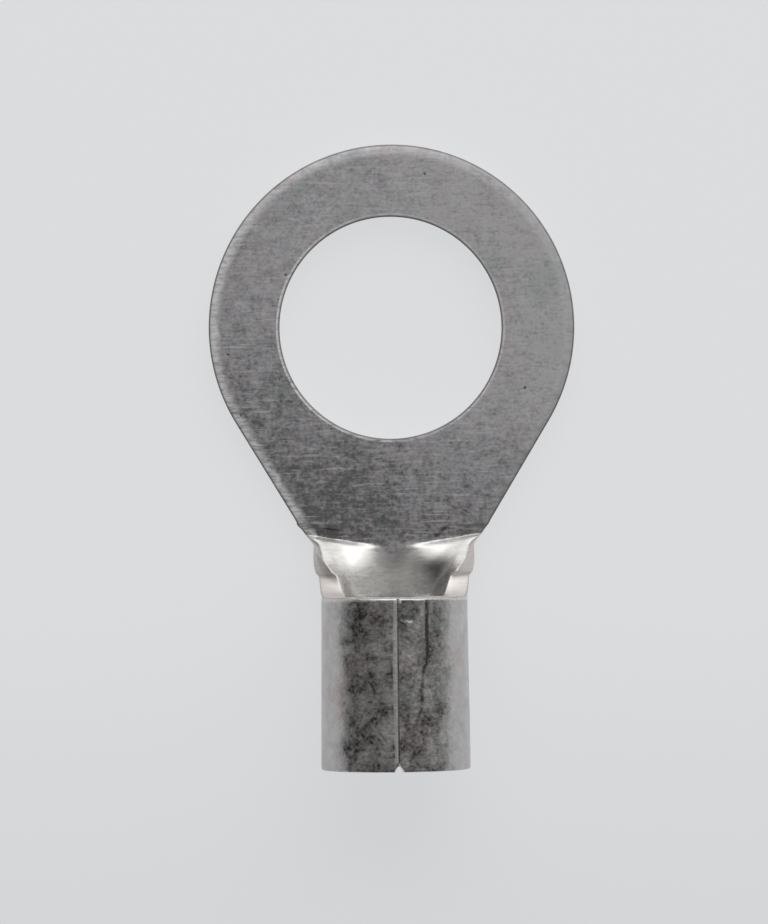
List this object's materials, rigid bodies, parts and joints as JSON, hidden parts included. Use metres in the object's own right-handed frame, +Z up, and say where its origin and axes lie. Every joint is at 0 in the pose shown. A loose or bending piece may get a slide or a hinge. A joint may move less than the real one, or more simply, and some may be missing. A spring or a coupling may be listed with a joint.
{
  "type": "ring terminal",
  "caption": "Bare ring terminal punched and rolled from one strip: a flat tongue with a stud hole, a curled neck and an open-seam wire barrel.",
  "frame": {"origin": "centre of the stud hole, on the flat underside that rests on the terminal block or the table", "axes": "+Z up out of the stud hole, away from the underside; +Y towards the tip of the ring; the wire barrel runs towards -Y and the wire goes in at its -Y end"},
  "size_m": [0.0138, 0.0235, 0.0055],
  "materials": {
    "tinned_copper": "matte electroplated tin over punched and rolled copper strip"
  },
  "bodies": {
    "root": {"ring_terminal": "tinned_copper"}
  },
  "joints": []
}
